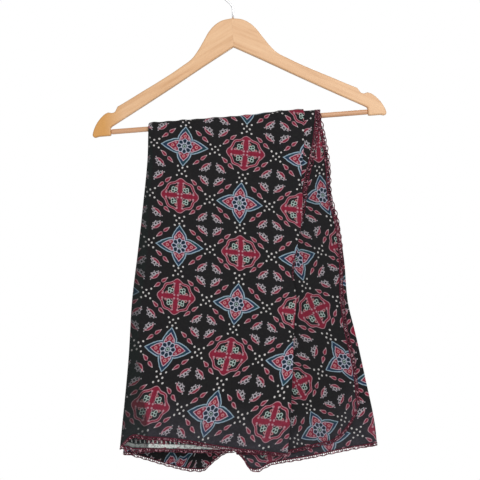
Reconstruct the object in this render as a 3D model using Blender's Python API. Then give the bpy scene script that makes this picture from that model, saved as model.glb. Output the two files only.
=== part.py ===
"""Ajrakh cloth hung over the bar of a wooden coat hanger.

The cloth is a block-printed square of about 1.1 m with a crocheted edging worked on all four
sides. It is folded like a book into four layers, with one narrow pleat beside an edge, and it
hangs over the hanger's bar by its middle. Its two ends hang down in front and behind.

Frame: the origin is the seat of the hook, where a rail would carry it. +Z is up, +X runs along
the bar to the right, and -Y faces the viewer. Sizes below are in millimetres.
"""

import math
from collections import namedtuple

import bmesh
import bpy
import numpy as np
from mathutils import Matrix, Vector

MM = 0.001
GAP = 0.3

# Hanger: its tips lie 445 mm apart, and the cloth's weight tilts it.
TILT_DEG = 4.46
TIPS_CENTRE = Vector((10.0, 0.0, -226.5))
WOOD_THICKNESS = 12.0
WOOD_EDGE_RADIUS = 2.4
BAR_RADIUS = 3.9
BAR_RISE = 5.0
ARM_FACE_AT_BAR = 194.0

# Upper edge of one arm from the crown to the strap notch, as (x, height) from the tips' middle.
ARM_TOP = (
    (0, 161), (14, 159), (26, 152.8), (36, 142.8), (45, 129.5), (54, 116.5), (65, 104.2), (80, 94.8),
    (95, 86), (110, 78), (125, 70.2), (139, 63.2), (153, 56), (167, 48.8), (181, 42),
)
# The notch, the rounded tip and the face that the bar meets.
ARM_END = (
    (186, 33.6), (196, 34.2), (204, 30), (211, 23.2), (216.5, 15.5), (220.3, 7.5), (222.3, 1.2),
    (219.5, -2.4), (213, -0.8), (194, -0.8), (194, 11.7),
)
# Lower edge of the arm, back from the bar to the seam.
ARM_BELOW = ((188, 15), (141, 40.3), (94, 66), (47, 92.4), (0, 118))

# Hook: round steel wire that stands on the crown.
WIRE_RADIUS = 1.65
HOOK_INNER_RADIUS = 19.0
HOOK_FOOT_HEIGHT = -65.4
HOOK_NECK_HEIGHT = -53.0
HOOK_START_DEG = -42
HOOK_END_DEG = 212

# Cloth over the bar.
CLOTH_THICKNESS = 1.0
BAR_CLEARANCE_ABOVE = 0.45
BAR_CLEARANCE_BESIDE = 2.0
PITCH_AT_BAR = 1.35
PITCH_AT_HEM = 3.2
BEND_STEPS = 6
SPREAD_AT_HEM = 5.0

EDGING_DEPTH = 8.3

# Rows down each hanging half, as shares of the way from the bar to the hem.
ROWS_DOWN = (0.04, 0.11, 0.2, 0.3, 0.4, 0.5, 0.6, 0.7, 0.8, 0.89, 0.96, 1.0)

# Lines along the cloth, in the order in which the section meets them. A level is a layer's place
# outward from the bar, and turn is the side to which the cloth turns there: -1 left, 1 right.
Line = namedtuple("Line", "name level_before level_after turn")
LINES = (
    Line("upper_edge", 3, 3, 0),
    Line("pleat_inner", 3, 4, -1),
    Line("pleat_edge", 4, 5, 1),
    Line("pleat_cover", 5, 5, 0),
    Line("outer_fold", 3, 0, -1),
    Line("centre_fold", 0, 1, 1),
    Line("inner_fold", 1, 2, -1),
    Line("under_edge", 2, 2, 0),
)

# Flat strips between those lines: which hem they end in and into how many steps they are cut.
Strip = namedtuple("Strip", "hem steps")
STRIPS = (
    Strip("pleat", 2),
    Strip("pleat", 2),
    Strip("panel", 2),
    Strip("panel", 8),
    Strip("bar_layer", 8),
    Strip("third_layer", 8),
    Strip("right_panel", 8),
)
TURN_STEPS = 3
OUTER_TURN_STEPS = 5
OUTER_TURN_REACH = 14.0
COVER_PAST_PLEAT = 5.0

# Where each line runs on each half: rows of (fall below the bar, x).
RUNS = {
    "front": {
        "upper_edge": ((0, 123), (38, 119), (64, 114), (98, 106), (131, 102), (187, 90), (287, 78), (503, 62)),
        "pleat_inner": ((0, 90), (126, 84), (274, 66), (502, 38)),
        "pleat_edge": (
            (0, 106), (45, 106), (90, 102), (132, 104), (189, 97), (235, 87), (268, 94), (313, 91), (376, 89),
            (454, 85), (505, 81),
        ),
        "outer_fold": ((0, -127), (43, -128), (108, -134), (181, -142), (256, -151), (339, -156), (478, -169)),
        "centre_fold": (
            (0, 130), (45, 139), (75, 144), (128, 148), (159, 157), (215, 166), (287, 173), (323, 182),
            (395, 198), (470, 213), (490, 215),
        ),
        "inner_fold": ((0, -120), (109, -110), (257, -80), (370, -45), (482, 4)),
        "under_edge": (
            (0, 124), (45, 134), (74, 138), (127, 142), (159, 151), (214, 158), (263, 159), (311, 164),
            (383, 179), (439, 185),
        ),
    },
    "back": {
        "upper_edge": ((0, 123), (126, 100), (286, 55), (495, -14)),
        "pleat_inner": ((0, 90), (126, 66), (286, 18), (495, -45)),
        "pleat_edge": ((0, 106), (126, 90), (286, 55), (502, -2)),
        "outer_fold": ((0, -127), (108, -132), (256, -149), (406, -160), (487, -167)),
        "centre_fold": ((0, 130), (128, 145), (249, 165), (395, 193), (483, 207)),
        "inner_fold": ((0, -120), (109, -112), (269, -95), (469, -60)),
        "under_edge": ((0, 124), (126, 138), (262, 156), (386, 176), (472, 190)),
    },
}

# Where each layer ends on each half: rows of (x, drop below the hook seat).
HEMS = {
    "front": {
        "pleat": ((38, 711), (62, 711), (81, 717)),
        "panel": ((-169, 706), (-159, 695), (-125, 693), (-72, 697), (-35, 704), (45, 713), (81, 717)),
        "bar_layer": ((-169, 712), (-104, 712), (-34, 714), (-6, 714), (16, 710), (110, 709), (215, 702)),
        "third_layer": ((4, 715), (11, 719), (24, 738), (58, 731), (118, 721), (178, 708), (215, 702)),
        "right_panel": ((4, 715), (84, 713), (126, 703), (154, 694), (169, 679), (185, 652)),
    },
    "back": {
        "pleat": ((-45, 706), (-14, 706), (-2, 716)),
        "panel": ((-167, 722), (-147, 727), (-91, 743), (-57, 749), (-43, 748), (-30, 735), (-16, 725), (-2, 717)),
        "bar_layer": ((-167, 722), (-120, 717), (0, 706), (207, 695)),
        "third_layer": ((-60, 700), (60, 704), (207, 695)),
        "right_panel": ((-60, 700), (60, 712), (160, 700), (190, 685)),
    },
}

# Soft folds that run down the hanging cloth: x at the bar and at the hem, half width, and how far
# the fold stands out (or sinks in, when negative) by the hem.
Fold = namedtuple("Fold", "half x_at_bar x_at_hem width height")
FOLDS = (
    Fold("front", -122, -166, 40, -3.0),
    Fold("front", -60, -84, 50, 3.0),
    Fold("front", 74, 44, 48, 2.5),
    Fold("front", 128, 190, 45, 3.5),
    Fold("back", -90, -120, 50, 4.0),
    Fold("back", -10, -50, 55, -1.5),
    Fold("back", 60, 40, 50, 3.5),
    Fold("back", 120, 170, 50, 2.5),
)


def remove_everything():
    for ob in list(bpy.data.objects):
        bpy.data.objects.remove(ob, do_unlink=True)


def material(name, colour, roughness, metallic=0.0):
    made = bpy.data.materials.new(name)
    made.use_nodes = True
    shader = made.node_tree.nodes["Principled BSDF"]
    shader.inputs["Base Color"].default_value = (*colour, 1.0)
    shader.inputs["Roughness"].default_value = roughness
    shader.inputs["Metallic"].default_value = metallic
    return made


def add_object(name, mesh, finish):
    ob = bpy.data.objects.new(name, mesh)
    ob.data.materials.append(finish)
    bpy.context.scene.collection.objects.link(ob)
    return ob


def hanger_matrix():
    """From the hanger's own frame, level and centred between its tips, to the world."""
    place = Matrix.Translation(TIPS_CENTRE * MM)
    return place @ Matrix.Rotation(math.radians(-TILT_DEG), 4, "Y")


def bar_drop(x):
    """How far the bar's centre lies below the hook seat, at a given x."""
    middle_x = TIPS_CENTRE.x - BAR_RISE * math.sin(math.radians(TILT_DEG))
    middle_drop = -TIPS_CENTRE.z - BAR_RISE * math.cos(math.radians(TILT_DEG))
    return middle_drop - (x - middle_x) * math.tan(math.radians(TILT_DEG))


def through(table, at):
    """Reads a table of (place, value) rows at a place, on a smooth curve through its rows."""
    places, values = (np.array(column, float) for column in zip(*table))
    slopes = np.gradient(values, places)
    i = int(np.clip(np.searchsorted(places, at) - 1, 0, len(places) - 2))
    span = places[i + 1] - places[i]
    t = float(np.clip((at - places[i]) / span, 0, 1))
    ease = t * t * (3 - 2 * t)
    bend = span * (slopes[i] * t * (1 - t) ** 2 - slopes[i + 1] * t * t * (1 - t))
    return float(values[i] * (1 - ease) + values[i + 1] * ease + bend)


def smooth_line(rows, steps):
    """Points on a smooth curve through the rows, with so many steps between two of them."""
    xs = [(i, row[0]) for i, row in enumerate(rows)]
    heights = [(i, row[1]) for i, row in enumerate(rows)]
    count = (len(rows) - 1) * steps
    return [(through(xs, k / steps), through(heights, k / steps)) for k in range(count + 1)]


def mix(a, b, share):
    return a + (b - a) * share


def smooth_share(share):
    share = min(max(share, 0.0), 1.0)
    return share * share * (3 - 2 * share)


# Hanger


def arm_outline():
    """Half of the hanger's face, from the seam's top round the tip to the seam's bottom."""
    upper = smooth_line(ARM_TOP, 2)
    lower = smooth_line(ARM_BELOW, 2)
    points = upper + list(ARM_END) + lower
    return [(max(x, GAP / 2), height) for x, height in points]


def make_arm(name, side, finish):
    mesh = bpy.data.meshes.new(name)
    bm = bmesh.new()
    outline = [(side * x, height) for x, height in arm_outline()]
    if side > 0:
        outline.reverse()
    back = WOOD_THICKNESS / 2
    corners = [bm.verts.new((x * MM, back * MM, height * MM)) for x, height in outline]
    face = bm.faces.new(corners)
    moved = bmesh.ops.extrude_face_region(bm, geom=[face])
    front = [v for v in moved["geom"] if isinstance(v, bmesh.types.BMVert)]
    bmesh.ops.translate(bm, verts=front, vec=(0, -WOOD_THICKNESS * MM, 0))
    bmesh.ops.recalc_face_normals(bm, faces=bm.faces)
    bm.to_mesh(mesh)
    bm.free()
    arm = add_object(name, mesh, finish)
    arm.matrix_world = hanger_matrix()
    bevel = arm.modifiers.new("rounded edges", "BEVEL")
    bevel.width = WOOD_EDGE_RADIUS * MM
    bevel.segments = 2
    bevel.limit_method = "ANGLE"
    bevel.angle_limit = math.radians(50)
    mesh.shade_smooth()
    return arm


def make_bar(finish):
    half_length = ARM_FACE_AT_BAR - GAP
    mesh = bpy.data.meshes.new("hanger_bar")
    bm = bmesh.new()
    turn = Matrix.Rotation(math.radians(90), 4, "Y")
    bmesh.ops.create_cone(
        bm, cap_ends=True, segments=16, radius1=BAR_RADIUS * MM, radius2=BAR_RADIUS * MM,
        depth=2 * half_length * MM, matrix=Matrix.Translation((0, 0, BAR_RISE * MM)) @ turn,
    )
    bm.to_mesh(mesh)
    bm.free()
    bar = add_object("hanger_bar", mesh, finish)
    bar.matrix_world = hanger_matrix()
    mesh.shade_smooth()
    return bar


def hook_route():
    """Centre line of the hook's wire: up to the left from the crown, then over the seat to the right."""
    radius = HOOK_INNER_RADIUS + WIRE_RADIUS
    centre = (0.0, -HOOK_INNER_RADIUS)
    start = math.radians(HOOK_START_DEG)
    joins = (centre[0] + radius * math.cos(start), centre[1] + radius * math.sin(start))
    heading = (-math.sin(start), math.cos(start))
    neck = (0.0, HOOK_NECK_HEIGHT)
    reach = 0.45 * (joins[1] - neck[1])
    guides = (neck, (0.0, neck[1] + reach), (joins[0] - heading[0] * reach, joins[1] - heading[1] * reach), joins)
    points = [(0.0, HOOK_FOOT_HEIGHT)]
    for k in range(8):
        t = k / 8
        weights = ((1 - t) ** 3, 3 * t * (1 - t) ** 2, 3 * t * t * (1 - t), t ** 3)
        points.append(tuple(sum(w * g[i] for w, g in zip(weights, guides)) for i in (0, 1)))
    steps = 22
    for k in range(steps + 1):
        angle = math.radians(mix(HOOK_START_DEG, HOOK_END_DEG, k / steps))
        points.append((centre[0] + radius * math.cos(angle), centre[1] + radius * math.sin(angle)))
    return [(-x, height) for x, height in points]


def make_hook(finish):
    curve = bpy.data.curves.new("hook", "CURVE")
    curve.dimensions = "3D"
    curve.bevel_depth = WIRE_RADIUS * MM
    curve.bevel_resolution = 2
    curve.use_fill_caps = True
    route = hook_route()
    spline = curve.splines.new("POLY")
    spline.points.add(len(route) - 1)
    for point, (x, height) in zip(spline.points, route):
        point.co = (x * MM, 0.0, height * MM, 1.0)
    return add_object("hook", curve, finish)


# Cloth


def run_of(line, half):
    if line.name == "pleat_cover":
        return [(fall, x - COVER_PAST_PLEAT) for fall, x in RUNS[half]["pleat_inner"]]
    return RUNS[half][line.name]


def line_places(half, share):
    """Each line's x, in one row of a half."""
    places = []
    for i, line in enumerate(LINES):
        run = run_of(line, half)
        x_top, x_hem = run[0][1], run[-1][1]
        beside = STRIPS[max(i - 1, 0)].hem, STRIPS[min(i, len(STRIPS) - 1)].hem
        hem = sum(through(HEMS[half][name], x_hem) for name in beside) / 2
        fall = share * (hem - bar_drop(x_top))
        places.append(through(run, fall))
    return places


def pitch_of(share):
    return mix(PITCH_AT_BAR, PITCH_AT_HEM, share ** 0.7)


def turn_reach(line, share):
    """How far a turn's round reaches to its side, and its radius between the two layers."""
    radius = abs(line.level_after - line.level_before) / 2 * pitch_of(share)
    if line.name == "outer_fold":
        return radius + OUTER_TURN_REACH * share ** 2, radius
    return radius, radius


def strip_level(i, share):
    """The level along a strip: the front panel comes down from over the pleat."""
    start, end = LINES[i].level_after, LINES[i + 1].level_before
    return mix(start, end, smooth_share(share / 0.35))


def turn_centres(half, share):
    return [x - line.turn * turn_reach(line, share)[0] for line, x in zip(LINES, line_places(half, share))]


def section(half, share):
    """One row of the cloth: for each column its x, its way out from the bar and its drop."""
    pitch = pitch_of(share)
    centres = turn_centres(half, share)
    at_bar = turn_centres(half, 0.0)
    at_hem = turn_centres(half, 1.0)
    columns = []
    for i, strip in enumerate(STRIPS):
        line = LINES[i]
        if line.turn:
            reach, radius = turn_reach(line, share)
            steps = OUTER_TURN_STEPS if line.name == "outer_fold" else TURN_STEPS
            middle = (line.level_before + line.level_after) / 2 * pitch
            way = 1 if line.level_after > line.level_before else -1
            for k in range(1, steps):
                angle = math.pi * k / steps
                x = centres[i] + line.turn * reach * math.sin(angle)
                out = middle - way * radius * math.cos(angle)
                x_hem = at_hem[i] + line.turn * turn_reach(line, 1.0)[0] * math.sin(angle)
                hem_before = through(HEMS[half][STRIPS[i - 1].hem], x_hem)
                hem_after = through(HEMS[half][strip.hem], x_hem)
                hem = mix(hem_before, hem_after, k / steps)
                columns.append((x, out, mix(bar_drop(at_bar[i]), hem, share)))
        for k in range(strip.steps + 1):
            across = 0.5 - 0.5 * math.cos(math.pi * k / strip.steps) if strip.steps > 2 else k / strip.steps
            if k == 0 and i and not line.turn:
                continue
            x = mix(centres[i], centres[i + 1], across)
            x_top = mix(at_bar[i], at_bar[i + 1], across)
            x_hem = mix(at_hem[i], at_hem[i + 1], across)
            drop = mix(bar_drop(x_top), through(HEMS[half][strip.hem], x_hem), share)
            columns.append((x, strip_level(i, across) * pitch, drop))
    return columns


def standing_out(half, x, share):
    """How far the hanging cloth stands out of its plane where its soft folds are."""
    out = SPREAD_AT_HEM * share
    for fold in FOLDS:
        if fold.half == half:
            away = (x - mix(fold.x_at_bar, fold.x_at_hem, share)) / fold.width
            out += fold.height * smooth_share(share * 1.6) * math.exp(-away * away)
    return out


def hanging_row(half, share):
    facing = -1 if half == "front" else 1
    beside = BAR_RADIUS + BAR_CLEARANCE_BESIDE + CLOTH_THICKNESS / 2
    return [
        (x, facing * (beside + out + standing_out(half, x, share)), -drop)
        for x, out, drop in section(half, share)
    ]


def bend_row(angle):
    """A row of the cloth where it bends over the bar, by the angle from the front."""
    beside = BAR_RADIUS + BAR_CLEARANCE_BESIDE + CLOTH_THICKNESS / 2
    above = BAR_RADIUS + BAR_CLEARANCE_ABOVE + CLOTH_THICKNESS / 2
    normal = Vector((-above * math.cos(angle), beside * math.sin(angle))).normalized()
    row = []
    for x, out, _ in section("front", 0.0):
        y = -beside * math.cos(angle) + normal[0] * out
        z = -bar_drop(x) + above * math.sin(angle) + normal[1] * out
        row.append((x, y, z))
    return row


def cloth_points():
    """The middle of the cloth as a grid: rows from the front hem over the bar to the back hem."""
    front = [hanging_row("front", share) for share in reversed(ROWS_DOWN)]
    bend = [bend_row(math.pi * k / BEND_STEPS) for k in range(BEND_STEPS + 1)]
    back = [hanging_row("back", share) for share in ROWS_DOWN]
    return np.array(front + bend + back)


def longer(points):
    """The grid with two rows added past its first and last row: the edging's inside and outside.

    The inside lies a gap away from the edge, measured square to it, also where the hem is steep.
    """

    def past(edge, inside):
        way = edge - inside
        way /= np.linalg.norm(way, axis=-1, keepdims=True)
        along = np.gradient(edge, axis=0)
        along /= np.linalg.norm(along, axis=-1, keepdims=True)
        square = np.linalg.norm(np.cross(way, along), axis=-1, keepdims=True)
        gap = GAP * 1.2 / np.maximum(square, 0.35)
        return [edge + way * gap, edge + way * (gap + EDGING_DEPTH)]

    first = past(points[0], points[1])[::-1]
    last = past(points[-1], points[-2])
    return np.concatenate([np.array(first), points, np.array(last)])


def edged_grid():
    """The cloth's grid with the edging's two rings of points past its four edges."""
    grid = longer(cloth_points())
    return longer(grid.transpose(1, 0, 2)).transpose(1, 0, 2)


def grid_normals(points):
    """Outward normals, away from the bar at the front panel."""
    along = np.gradient(points, axis=0)
    across = np.gradient(points, axis=1)
    normals = np.cross(along, across)
    return normals / np.linalg.norm(normals, axis=-1, keepdims=True)


def sheet_object(name, points, normals, kept, finish):
    """A closed sheet from the kept cells of a grid, half its thickness to each side."""
    rows, columns = points.shape[:2]
    bm = bmesh.new()
    sides = []
    for sign in (0.5, -0.5):
        placed = (points + normals * CLOTH_THICKNESS * sign) * MM
        sides.append([[bm.verts.new(placed[r, c]) for c in range(columns)] for r in range(rows)])
    upper, lower = sides
    borders = {}
    for r in range(rows - 1):
        for c in range(columns - 1):
            if not kept(r, c):
                continue
            ring = [(r, c), (r + 1, c), (r + 1, c + 1), (r, c + 1)]
            bm.faces.new([upper[i][k] for i, k in ring])
            bm.faces.new([lower[i][k] for i, k in reversed(ring)])
            for a, b in zip(ring, ring[1:] + ring[:1]):
                if (b, a) in borders:
                    del borders[b, a]
                else:
                    borders[a, b] = True
    for a, b in borders:
        bm.faces.new([upper[b[0]][b[1]], upper[a[0]][a[1]], lower[a[0]][a[1]], lower[b[0]][b[1]]])
    loose = [v for v in bm.verts if not v.link_faces]
    bmesh.ops.delete(bm, geom=loose, context="VERTS")
    mesh = bpy.data.meshes.new(name)
    bm.to_mesh(mesh)
    bm.free()
    mesh.shade_smooth()
    return add_object(name, mesh, finish)


def make_cloth(grid, normals, finish):
    inside = (slice(2, -2), slice(2, -2))
    return sheet_object("ajrakh_cloth", grid[inside], normals[inside], lambda r, c: True, finish)


def make_edging(grid, normals, finish):
    last_row, last_column = grid.shape[0] - 2, grid.shape[1] - 2

    def in_ring(r, c):
        return r in (0, last_row) or c in (0, last_column)

    return sheet_object("crocheted_edging", grid, normals, in_ring, finish)


def main():
    remove_everything()
    wood = material("beech wood", (0.72, 0.45, 0.24), 0.45)
    bar_wood = material("bar wood", (0.66, 0.38, 0.19), 0.5)
    steel = material("plated steel", (0.62, 0.62, 0.62), 0.25, 1.0)
    printed = material("black printed cloth", (0.016, 0.014, 0.017), 0.75)
    thread = material("maroon crochet thread", (0.12, 0.008, 0.022), 0.8)
    make_arm("hanger_arm_left", -1, wood)
    make_arm("hanger_arm_right", 1, wood)
    make_bar(bar_wood)
    make_hook(steel)
    grid = edged_grid()
    normals = grid_normals(grid)
    make_cloth(grid, normals, printed)
    make_edging(grid, normals, thread)


main()
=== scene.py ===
"""The looks of an ajrakh cloth on its coat hanger: printed cloth, crocheted edging, wood and wire.

The cloth follows the folds of its solid in finer steps. Sizes are in millimetres, in the part's
frame: the origin is the seat of the hook, +X runs along the bar and -Y faces the viewer. A drop is
a height below the hook's seat.
"""

import math
from collections import namedtuple

import bmesh
import bpy
import numpy as np
from mathutils import Matrix, Vector


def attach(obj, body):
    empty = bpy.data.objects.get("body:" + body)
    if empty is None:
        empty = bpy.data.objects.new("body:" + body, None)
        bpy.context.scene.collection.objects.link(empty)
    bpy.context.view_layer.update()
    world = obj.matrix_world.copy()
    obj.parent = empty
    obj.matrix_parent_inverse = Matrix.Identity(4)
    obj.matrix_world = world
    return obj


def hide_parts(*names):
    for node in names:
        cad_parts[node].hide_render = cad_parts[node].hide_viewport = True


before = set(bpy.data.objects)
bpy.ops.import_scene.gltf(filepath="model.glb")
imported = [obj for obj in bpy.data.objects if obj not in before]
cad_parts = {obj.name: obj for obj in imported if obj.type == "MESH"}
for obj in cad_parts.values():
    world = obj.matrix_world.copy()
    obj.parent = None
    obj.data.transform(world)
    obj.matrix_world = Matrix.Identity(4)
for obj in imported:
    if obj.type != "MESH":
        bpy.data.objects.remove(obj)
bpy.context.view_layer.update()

MM = 0.001

# Hanger
TILT_DEG = 4.46
TIPS_CENTRE = Vector((10.0, 0.0, -226.5))
WOOD_THICKNESS = 12.0
WOOD_EDGE_RADIUS = 2.4
SEAM_HALF_GAP = 0.03
BAR_RADIUS = 3.9
BAR_RISE = 5.0
BAR_HALF_LENGTH = 193.7
ARM_STEPS = 4

# Upper edge of one arm from the crown to the strap notch, as (x, height) from the tips' middle.
ARM_TOP = (
    (0, 161), (14, 159), (26, 152.8), (36, 142.8), (45, 129.5), (54, 116.5), (65, 104.2), (80, 94.8),
    (95, 86), (110, 78), (125, 70.2), (139, 63.2), (153, 56), (167, 48.8), (181, 42),
)
# The notch, the rounded tip and the face that the bar meets.
ARM_END = (
    (186, 33.6), (190.5, 33), (196, 34.2), (200.3, 32.6), (204, 30), (207.7, 26.8), (211, 23.2),
    (214, 19.5), (216.5, 15.5), (218.6, 11.6), (220.3, 7.5), (222.3, 1.2), (219.5, -2.4), (213, -0.8),
    (194, -0.8), (194, 11.7),
)
# Lower edge of the arm, back from the bar to the seam.
ARM_BELOW = ((188, 15), (141, 40.3), (94, 66), (47, 92.4), (0, 118))
ARM_SLOPE_DEG = 27

# Hook: round steel wire that stands on the crown.
WIRE_RADIUS = 1.65
HOOK_INNER_RADIUS = 19.0
HOOK_FOOT_HEIGHT = -66.4
HOOK_NECK_HEIGHT = -53.0
HOOK_START_DEG = -42
HOOK_END_DEG = 212

# Cloth
CLOTH_THICKNESS = 0.5
SOLID_THICKNESS = 1.0
BAR_CLEARANCE_ABOVE = 0.45
BAR_CLEARANCE_BESIDE = 2.0
PITCH_AT_BAR = 1.35
PITCH_AT_HEM = 3.2
SPREAD_AT_HEM = 5.0
OUTER_TURN_REACH = 14.0
COVER_PAST_PLEAT = 5.0
ROWS_A_HALF = 106
BEND_STEPS = 16
TURN_STEPS = 6
OUTER_TURN_STEPS = 12

# Lines along the cloth, in the order in which the section meets them. A level is a layer's place
# outward from the bar, and turn is the side to which the cloth turns there: -1 left, 1 right.
Line = namedtuple("Line", "name level_before level_after turn")
LINES = (
    Line("upper_edge", 3, 3, 0),
    Line("pleat_inner", 3, 4, -1),
    Line("pleat_edge", 4, 5, 1),
    Line("pleat_cover", 5, 5, 0),
    Line("outer_fold", 3, 0, -1),
    Line("centre_fold", 0, 1, 1),
    Line("inner_fold", 1, 2, -1),
    Line("under_edge", 2, 2, 0),
)

# Flat strips between those lines: which hem they end in and into how many steps they are cut.
Strip = namedtuple("Strip", "hem steps")
STRIPS = (
    Strip("pleat", 5),
    Strip("pleat", 4),
    Strip("panel", 5),
    Strip("panel", 56),
    Strip("bar_layer", 28),
    Strip("third_layer", 32),
    Strip("right_panel", 38),
)

# Where each line runs on each half: rows of (fall below the bar, x).
RUNS = {
    "front": {
        "upper_edge": (
            (0, 123), (38, 119), (64, 114), (98, 106), (131, 102), (187, 90), (287, 78), (503, 62),
        ),
        "pleat_inner": ((0, 90), (126, 84), (274, 66), (502, 38)),
        "pleat_edge": (
            (0, 106), (45, 106), (90, 102), (132, 104), (189, 97), (235, 87), (268, 94), (313, 91),
            (376, 89), (454, 85), (505, 81),
        ),
        "outer_fold": (
            (0, -127), (43, -128), (108, -134), (181, -142), (256, -151), (339, -156), (478, -169),
        ),
        "centre_fold": (
            (0, 130), (45, 139), (75, 144), (128, 148), (159, 157), (215, 166), (287, 173), (323, 182),
            (395, 198), (470, 213), (490, 215),
        ),
        "inner_fold": ((0, -120), (109, -110), (257, -80), (370, -45), (482, 4)),
        "under_edge": (
            (0, 124), (45, 134), (74, 138), (127, 142), (159, 151), (214, 158), (263, 159), (311, 164),
            (383, 179), (439, 185),
        ),
    },
    "back": {
        "upper_edge": ((0, 123), (126, 100), (286, 55), (495, -14)),
        "pleat_inner": ((0, 90), (126, 66), (286, 18), (495, -45)),
        "pleat_edge": ((0, 106), (126, 90), (286, 55), (502, -2)),
        "outer_fold": ((0, -127), (108, -132), (256, -149), (406, -160), (487, -167)),
        "centre_fold": ((0, 130), (128, 145), (249, 165), (395, 193), (483, 207)),
        "inner_fold": ((0, -120), (109, -112), (269, -95), (469, -60)),
        "under_edge": ((0, 124), (126, 138), (262, 156), (386, 176), (472, 190)),
    },
}

# Where each layer ends on each half: rows of (x, drop).
HEMS = {
    "front": {
        "pleat": ((38, 711), (62, 711), (81, 717)),
        "panel": ((-169, 706), (-159, 695), (-125, 693), (-72, 697), (-35, 704), (45, 713), (81, 717)),
        "bar_layer": ((-169, 712), (-104, 712), (-34, 714), (-6, 714), (16, 710), (110, 709), (215, 702)),
        "third_layer": ((4, 715), (11, 719), (24, 738), (58, 731), (118, 721), (178, 708), (215, 702)),
        "right_panel": ((4, 715), (84, 713), (126, 703), (154, 694), (169, 679), (185, 652)),
    },
    "back": {
        "pleat": ((-45, 706), (-14, 706), (-2, 716)),
        "panel": (
            (-167, 722), (-147, 727), (-91, 743), (-57, 749), (-43, 748), (-30, 735), (-16, 725),
            (-2, 717),
        ),
        "bar_layer": ((-167, 722), (-120, 717), (0, 706), (207, 695)),
        "third_layer": ((-60, 700), (60, 704), (207, 695)),
        "right_panel": ((-60, 700), (60, 712), (160, 700), (190, 685)),
    },
}

# Soft folds that run down the hanging cloth: x at the bar and at the hem, half width, and how far
# the fold stands out (or sinks in, when negative) by the hem.
Fold = namedtuple("Fold", "half x_at_bar x_at_hem width height")
FOLDS = (
    Fold("front", -122, -166, 40, -3.0),
    Fold("front", -60, -84, 50, 3.0),
    Fold("front", 74, 44, 48, 2.5),
    Fold("front", 128, 190, 45, 3.5),
    Fold("back", -90, -120, 50, 4.0),
    Fold("back", -10, -50, 55, -1.5),
    Fold("back", 60, 40, 50, 3.5),
    Fold("back", 120, 170, 50, 2.5),
)

# Creases in all layers of a half: from one end to the other, as x and share of the way down, with
# the crease's half width and its height, negative for a trough.
Crease = namedtuple("Crease", "half x_from share_from x_to share_to width height")
CREASES = (
    Crease("front", -124, 0.02, -70, 0.26, 9, 1.3),
    Crease("front", -98, 0.03, -40, 0.20, 7, -0.9),
    Crease("front", 92, 0.02, 52, 0.30, 9, 1.2),
    Crease("front", 20, 0.02, 12, 0.22, 11, 0.8),
    Crease("front", -150, 0.30, -118, 0.62, 8, 1.3),
    Crease("front", -118, 0.55, -128, 0.97, 9, -1.2),
    Crease("front", -44, 0.42, -58, 0.98, 12, 1.2),
    Crease("front", 4, 0.50, -8, 0.98, 10, -1.0),
    Crease("front", 62, 0.46, 40, 0.96, 9, 1.1),
    Crease("front", 112, 0.22, 146, 0.86, 10, 1.2),
    Crease("front", 128, 0.42, 166, 0.84, 7, -0.8),
    Crease("back", -112, 0.03, -60, 0.34, 10, 1.3),
    Crease("back", 96, 0.02, 40, 0.32, 10, 1.2),
    Crease("back", -140, 0.42, -108, 0.92, 10, 1.4),
    Crease("back", -30, 0.38, -64, 0.96, 12, -1.1),
    Crease("back", 84, 0.46, 76, 0.94, 11, 1.2),
)

# Small tucks where the cloth is bunched over the bar: x, half width, height, and the fall below
# the bar over which the tuck dies away.
Tuck = namedtuple("Tuck", "x width height reach")
TUCKS = (
    Tuck(-119, 5, 1.2, 46),
    Tuck(-98, 6, 0.9, 34),
    Tuck(-76, 5, 1.5, 60),
    Tuck(-55, 6, 0.8, 40),
    Tuck(-29, 7, 1.2, 52),
    Tuck(-4, 5, 0.8, 34),
    Tuck(19, 6, 1.3, 56),
    Tuck(47, 7, 0.8, 36),
    Tuck(70, 5, 1.4, 58),
    Tuck(97, 6, 1.0, 40),
)

# Crocheted edging: chains worked along the edge, a row of thread loops on them, and an outer chain
# that hangs in a scallop over every two loops.
Chain = namedtuple("Chain", "out scallop radii stitch")
CHAINS = (
    Chain(0.9, 0.0, (0.8, 1.15), 2.6),
    Chain(6.1, 1.5, (0.6, 0.75), 2.8),
)
LOOP_PITCH = 6.2
LOOP_SPREAD = 0.27
LOOP_FOOT = 1.6
LOOP_DEPTH = 4.3
LOOP_RADII = (0.6, 0.75)
LOOP_STEPS = 8
HEM_LOOP_OPENNESS = 0.62
PALE_THREAD = "pale"

# The print is counted in motifs: stars and rosettes in turn, across and down. A row of a print
# table is one row of motifs: its middle motif's x and drop, and the step to the next motif on the
# right.
MOTIF_WIDTH = 90.0
MOTIF_HEIGHT = 75.0
MOTIF_STEP = 88.5
PRINT_MAP = "print"
PrintRow = namedtuple("PrintRow", "row x drop step_x step_drop")
FRONT_PRINT = (
    PrintRow(-2, 22.0, 197.5, 90.5, 9.0),
    PrintRow(-1, 18.8, 269.5, 91.3, 10.5),
    PrintRow(0, 9.7, 344.3, 89.3, 10.8),
    PrintRow(1, 11.6, 419.1, 91.8, 10.8),
    PrintRow(2, 5.1, 495.6, 90.0, 11.3),
    PrintRow(3, -6.8, 572.1, 90.6, 9.6),
    PrintRow(4, -33.0, 658.7, 90.2, 11.6),
    PrintRow(5, -60.0, 745.0, 90.0, 11.6),
)
RIGHT_PRINT = (
    PrintRow(-1, 127.5, 257.0, 76.0, -12.0),
    PrintRow(0, 134.5, 332.4, 73.5, -18.5),
    PrintRow(1, 166.3, 405.0, 71.5, -23.5),
    PrintRow(2, 195.0, 473.0, 73.8, -32.0),
    PrintRow(3, 236.7, 548.0, 70.8, -33.0),
    PrintRow(4, 271.0, 617.0, 70.8, -33.0),
    PrintRow(5, 305.0, 686.0, 70.8, -33.0),
)
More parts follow.
